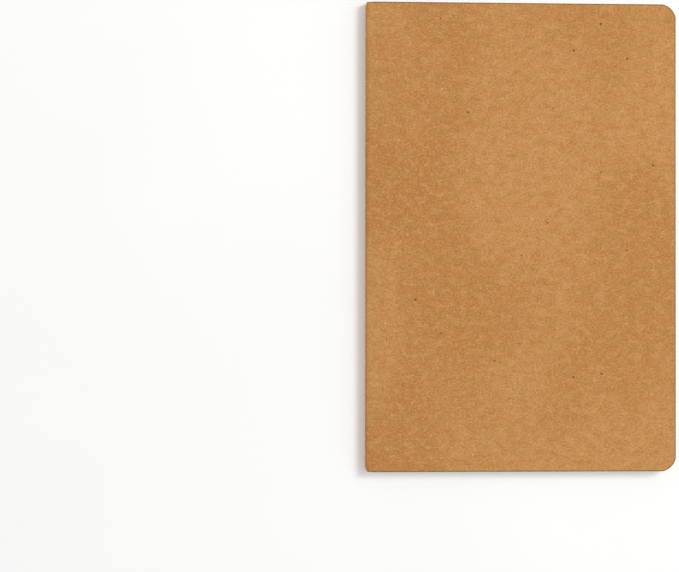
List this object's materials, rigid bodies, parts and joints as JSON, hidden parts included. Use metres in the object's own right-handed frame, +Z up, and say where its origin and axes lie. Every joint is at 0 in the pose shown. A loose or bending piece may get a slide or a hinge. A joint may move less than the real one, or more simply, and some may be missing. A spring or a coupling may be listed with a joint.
{
  "type": "pocket notebook",
  "caption": "Thread-sewn pocket notebook: a folded kraft card cover round nested folded sheets of blank cream paper, with rounded fore-edge corners.",
  "frame": {"origin": "middle of the bounding box's base, on the surface that the closed notebook lies on", "axes": "+X from the spine to the fore-edge, +Y from the tail to the head, +Z up through the closed notebook to the front cover"},
  "size_m": [0.0936, 0.14, 0.0045],
  "materials": {
    "kraft_cover": "matte",
    "cream_paper": "matte",
    "sewing_thread": "matte"
  },
  "bodies": {
    "back_half": {"back_cover": "kraft_cover", "cover_spine": "kraft_cover", "needle_thread": "sewing_thread", "bobbin_thread": "sewing_thread", "sheet_01_back_leaf": "cream_paper", "sheet_01_fold": "cream_paper"},
    "front_cover": {"front_cover": "kraft_cover"},
    "sheet_01_front": {"sheet_01_front_leaf": "cream_paper"},
    "sheet_02_back": {"sheet_02_back_leaf": "cream_paper", "sheet_02_fold": "cream_paper"},
    "sheet_02_front": {"sheet_02_front_leaf": "cream_paper"},
    "sheet_03_back": {"sheet_03_back_leaf": "cream_paper", "sheet_03_fold": "cream_paper"},
    "sheet_03_front": {"sheet_03_front_leaf": "cream_paper"},
    "sheet_04_back": {"sheet_04_back_leaf": "cream_paper", "sheet_04_fold": "cream_paper"},
    "sheet_04_front": {"sheet_04_front_leaf": "cream_paper"},
    "sheet_05_back": {"sheet_05_back_leaf": "cream_paper", "sheet_05_fold": "cream_paper"},
    "sheet_05_front": {"sheet_05_front_leaf": "cream_paper"},
    "sheet_06_back": {"sheet_06_back_leaf": "cream_paper", "sheet_06_fold": "cream_paper"},
    "sheet_06_front": {"sheet_06_front_leaf": "cream_paper"},
    "sheet_07_back": {"sheet_07_back_leaf": "cream_paper", "sheet_07_fold": "cream_paper"},
    "sheet_07_front": {"sheet_07_front_leaf": "cream_paper"},
    "sheet_08_back": {"sheet_08_back_leaf": "cream_paper", "sheet_08_fold": "cream_paper"},
    "sheet_08_front": {"sheet_08_front_leaf": "cream_paper"},
    "sheet_09_back": {"sheet_09_back_leaf": "cream_paper", "sheet_09_fold": "cream_paper"},
    "sheet_09_front": {"sheet_09_front_leaf": "cream_paper"},
    "sheet_10_back": {"sheet_10_back_leaf": "cream_paper", "sheet_10_fold": "cream_paper"},
    "sheet_10_front": {"sheet_10_front_leaf": "cream_paper"},
    "sheet_11_back": {"sheet_11_back_leaf": "cream_paper", "sheet_11_fold": "cream_paper"},
    "sheet_11_front": {"sheet_11_front_leaf": "cream_paper"},
    "sheet_12_back": {"sheet_12_back_leaf": "cream_paper", "sheet_12_fold": "cream_paper"},
    "sheet_12_front": {"sheet_12_front_leaf": "cream_paper"},
    "sheet_13_back": {"sheet_13_back_leaf": "cream_paper", "sheet_13_fold": "cream_paper"},
    "sheet_13_front": {"sheet_13_front_leaf": "cream_paper"},
    "sheet_14_back": {"sheet_14_back_leaf": "cream_paper", "sheet_14_fold": "cream_paper"},
    "sheet_14_front": {"sheet_14_front_leaf": "cream_paper"},
    "sheet_15_back": {"sheet_15_back_leaf": "cream_paper", "sheet_15_fold": "cream_paper"},
    "sheet_15_front": {"sheet_15_front_leaf": "cream_paper"},
    "sheet_16_back": {"sheet_16_back_leaf": "cream_paper", "sheet_16_fold": "cream_paper"},
    "sheet_16_front": {"sheet_16_front_leaf": "cream_paper"}
  },
  "joints": [
    {"name": "notebook_opening", "type": "hinge", "parent": "back_half", "child": "sheet_01_front", "pos_m": [-0.04413, 0, 0.00224], "axis": [0, -1, 0], "range_deg": [0, 179.9], "deforming": ["cover_spine", "needle_thread", "bobbin_thread", "sheet_01_fold"]},
    {"name": "front_cover_turn", "type": "hinge", "parent": "sheet_01_front", "child": "front_cover", "pos_m": [-0.04413, 0, 0.00453], "axis": [0, -1, 0], "range_deg": [0, 179.9]},
    {"name": "sheet_02_back_lift", "type": "hinge", "parent": "back_half", "child": "sheet_02_back", "pos_m": [-0.04413, 0, 0.00224], "axis": [0, -1, 0], "range_deg": [0, 0.08995]},
    {"name": "sheet_02_fold_bend", "type": "hinge", "parent": "sheet_02_back", "child": "sheet_02_front", "pos_m": [-0.04413, 0, 0.00224], "axis": [0, -1, 0], "range_deg": [0, 179.72], "deforming": ["sheet_02_fold"]},
    {"name": "sheet_03_back_lift", "type": "hinge", "parent": "back_half", "child": "sheet_03_back", "pos_m": [-0.04413, 0, 0.00224], "axis": [0, -1, 0], "range_deg": [0, 0.1799]},
    {"name": "sheet_03_fold_bend", "type": "hinge", "parent": "sheet_03_back", "child": "sheet_03_front", "pos_m": [-0.04413, 0, 0.00224], "axis": [0, -1, 0], "range_deg": [0, 179.54], "deforming": ["sheet_03_fold"]},
    {"name": "sheet_04_back_lift", "type": "hinge", "parent": "back_half", "child": "sheet_04_back", "pos_m": [-0.04413, 0, 0.00224], "axis": [0, -1, 0], "range_deg": [0, 0.26985]},
    {"name": "sheet_04_fold_bend", "type": "hinge", "parent": "sheet_04_back", "child": "sheet_04_front", "pos_m": [-0.04413, 0, 0.00224], "axis": [0, -1, 0], "range_deg": [0, 179.36], "deforming": ["sheet_04_fold"]},
    {"name": "sheet_05_back_lift", "type": "hinge", "parent": "back_half", "child": "sheet_05_back", "pos_m": [-0.04413, 0, 0.00224], "axis": [0, -1, 0], "range_deg": [0, 0.3598]},
    {"name": "sheet_05_fold_bend", "type": "hinge", "parent": "sheet_05_back", "child": "sheet_05_front", "pos_m": [-0.04413, 0, 0.00224], "axis": [0, -1, 0], "range_deg": [0, 179.18], "deforming": ["sheet_05_fold"]},
    {"name": "sheet_06_back_lift", "type": "hinge", "parent": "back_half", "child": "sheet_06_back", "pos_m": [-0.04413, 0, 0.00224], "axis": [0, -1, 0], "range_deg": [0, 0.44975]},
    {"name": "sheet_06_fold_bend", "type": "hinge", "parent": "sheet_06_back", "child": "sheet_06_front", "pos_m": [-0.04413, 0, 0.00224], "axis": [0, -1, 0], "range_deg": [0, 179], "deforming": ["sheet_06_fold"]},
    {"name": "sheet_07_back_lift", "type": "hinge", "parent": "back_half", "child": "sheet_07_back", "pos_m": [-0.04413, 0, 0.00224], "axis": [0, -1, 0], "range_deg": [0, 0.5397]},
    {"name": "sheet_07_fold_bend", "type": "hinge", "parent": "sheet_07_back", "child": "sheet_07_front", "pos_m": [-0.04413, 0, 0.00224], "axis": [0, -1, 0], "range_deg": [0, 178.82], "deforming": ["sheet_07_fold"]},
    {"name": "sheet_08_back_lift", "type": "hinge", "parent": "back_half", "child": "sheet_08_back", "pos_m": [-0.04413, 0, 0.00224], "axis": [0, -1, 0], "range_deg": [0, 0.62965]},
    {"name": "sheet_08_fold_bend", "type": "hinge", "parent": "sheet_08_back", "child": "sheet_08_front", "pos_m": [-0.04413, 0, 0.00224], "axis": [0, -1, 0], "range_deg": [0, 178.64], "deforming": ["sheet_08_fold"]},
    {"name": "sheet_09_back_lift", "type": "hinge", "parent": "back_half", "child": "sheet_09_back", "pos_m": [-0.04413, 0, 0.00224], "axis": [0, -1, 0], "range_deg": [0, 0.7196]},
    {"name": "sheet_09_fold_bend", "type": "hinge", "parent": "sheet_09_back", "child": "sheet_09_front", "pos_m": [-0.04413, 0, 0.00224], "axis": [0, -1, 0], "range_deg": [0, 178.46], "deforming": ["sheet_09_fold"]},
    {"name": "sheet_10_back_lift", "type": "hinge", "parent": "back_half", "child": "sheet_10_back", "pos_m": [-0.04413, 0, 0.00224], "axis": [0, -1, 0], "range_deg": [0, 0.80955]},
    {"name": "sheet_10_fold_bend", "type": "hinge", "parent": "sheet_10_back", "child": "sheet_10_front", "pos_m": [-0.04413, 0, 0.00224], "axis": [0, -1, 0], "range_deg": [0, 178.28], "deforming": ["sheet_10_fold"]},
    {"name": "sheet_11_back_lift", "type": "hinge", "parent": "back_half", "child": "sheet_11_back", "pos_m": [-0.04413, 0, 0.00224], "axis": [0, -1, 0], "range_deg": [0, 0.8995]},
    {"name": "sheet_11_fold_bend", "type": "hinge", "parent": "sheet_11_back", "child": "sheet_11_front", "pos_m": [-0.04413, 0, 0.00224], "axis": [0, -1, 0], "range_deg": [0, 178.1], "deforming": ["sheet_11_fold"]},
    {"name": "sheet_12_back_lift", "type": "hinge", "parent": "back_half", "child": "sheet_12_back", "pos_m": [-0.04413, 0, 0.00224], "axis": [0, -1, 0], "range_deg": [0, 0.98945]},
    {"name": "sheet_12_fold_bend", "type": "hinge", "parent": "sheet_12_back", "child": "sheet_12_front", "pos_m": [-0.04413, 0, 0.00224], "axis": [0, -1, 0], "range_deg": [0, 177.92], "deforming": ["sheet_12_fold"]},
    {"name": "sheet_13_back_lift", "type": "hinge", "parent": "back_half", "child": "sheet_13_back", "pos_m": [-0.04413, 0, 0.00224], "axis": [0, -1, 0], "range_deg": [0, 1.08]},
    {"name": "sheet_13_fold_bend", "type": "hinge", "parent": "sheet_13_back", "child": "sheet_13_front", "pos_m": [-0.04413, 0, 0.00224], "axis": [0, -1, 0], "range_deg": [0, 177.74], "deforming": ["sheet_13_fold"]},
    {"name": "sheet_14_back_lift", "type": "hinge", "parent": "back_half", "child": "sheet_14_back", "pos_m": [-0.04413, 0, 0.00224], "axis": [0, -1, 0], "range_deg": [0, 1.17]},
    {"name": "sheet_14_fold_bend", "type": "hinge", "parent": "sheet_14_back", "child": "sheet_14_front", "pos_m": [-0.04413, 0, 0.00224], "axis": [0, -1, 0], "range_deg": [0, 177.56], "deforming": ["sheet_14_fold"]},
    {"name": "sheet_15_back_lift", "type": "hinge", "parent": "back_half", "child": "sheet_15_back", "pos_m": [-0.04413, 0, 0.00224], "axis": [0, -1, 0], "range_deg": [0, 1.26]},
    {"name": "sheet_15_fold_bend", "type": "hinge", "parent": "sheet_15_back", "child": "sheet_15_front", "pos_m": [-0.04413, 0, 0.00224], "axis": [0, -1, 0], "range_deg": [0, 177.38], "deforming": ["sheet_15_fold"]},
    {"name": "sheet_16_back_lift", "type": "hinge", "parent": "back_half", "child": "sheet_16_back", "pos_m": [-0.04413, 0, 0.00224], "axis": [0, -1, 0], "range_deg": [0, 1.35]},
    {"name": "sheet_16_fold_bend", "type": "hinge", "parent": "sheet_16_back", "child": "sheet_16_front", "pos_m": [-0.04413, 0, 0.00224], "axis": [0, -1, 0], "range_deg": [0, 177.2], "deforming": ["sheet_16_fold"]}
  ],
  "couplings": [
    {"joint": "sheet_02_back_lift", "follows": "notebook_opening", "ratio": 0.0005},
    {"joint": "sheet_02_fold_bend", "follows": "notebook_opening", "ratio": 0.999},
    {"joint": "sheet_03_back_lift", "follows": "notebook_opening", "ratio": 0.001},
    {"joint": "sheet_03_fold_bend", "follows": "notebook_opening", "ratio": 0.998},
    {"joint": "sheet_04_back_lift", "follows": "notebook_opening", "ratio": 0.0015},
    {"joint": "sheet_04_fold_bend", "follows": "notebook_opening", "ratio": 0.997},
    {"joint": "sheet_05_back_lift", "follows": "notebook_opening", "ratio": 0.002},
    {"joint": "sheet_05_fold_bend", "follows": "notebook_opening", "ratio": 0.996},
    {"joint": "sheet_06_back_lift", "follows": "notebook_opening", "ratio": 0.0025},
    {"joint": "sheet_06_fold_bend", "follows": "notebook_opening", "ratio": 0.995},
    {"joint": "sheet_07_back_lift", "follows": "notebook_opening", "ratio": 0.003},
    {"joint": "sheet_07_fold_bend", "follows": "notebook_opening", "ratio": 0.994},
    {"joint": "sheet_08_back_lift", "follows": "notebook_opening", "ratio": 0.0035},
    {"joint": "sheet_08_fold_bend", "follows": "notebook_opening", "ratio": 0.993},
    {"joint": "sheet_09_back_lift", "follows": "notebook_opening", "ratio": 0.004},
    {"joint": "sheet_09_fold_bend", "follows": "notebook_opening", "ratio": 0.992},
    {"joint": "sheet_10_back_lift", "follows": "notebook_opening", "ratio": 0.0045},
    {"joint": "sheet_10_fold_bend", "follows": "notebook_opening", "ratio": 0.991},
    {"joint": "sheet_11_back_lift", "follows": "notebook_opening", "ratio": 0.005},
    {"joint": "sheet_11_fold_bend", "follows": "notebook_opening", "ratio": 0.99},
    {"joint": "sheet_12_back_lift", "follows": "notebook_opening", "ratio": 0.0055},
    {"joint": "sheet_12_fold_bend", "follows": "notebook_opening", "ratio": 0.989},
    {"joint": "sheet_13_back_lift", "follows": "notebook_opening", "ratio": 0.006},
    {"joint": "sheet_13_fold_bend", "follows": "notebook_opening", "ratio": 0.988},
    {"joint": "sheet_14_back_lift", "follows": "notebook_opening", "ratio": 0.0065},
    {"joint": "sheet_14_fold_bend", "follows": "notebook_opening", "ratio": 0.987},
    {"joint": "sheet_15_back_lift", "follows": "notebook_opening", "ratio": 0.007},
    {"joint": "sheet_15_fold_bend", "follows": "notebook_opening", "ratio": 0.986},
    {"joint": "sheet_16_back_lift", "follows": "notebook_opening", "ratio": 0.0075},
    {"joint": "sheet_16_fold_bend", "follows": "notebook_opening", "ratio": 0.985}
  ]
}
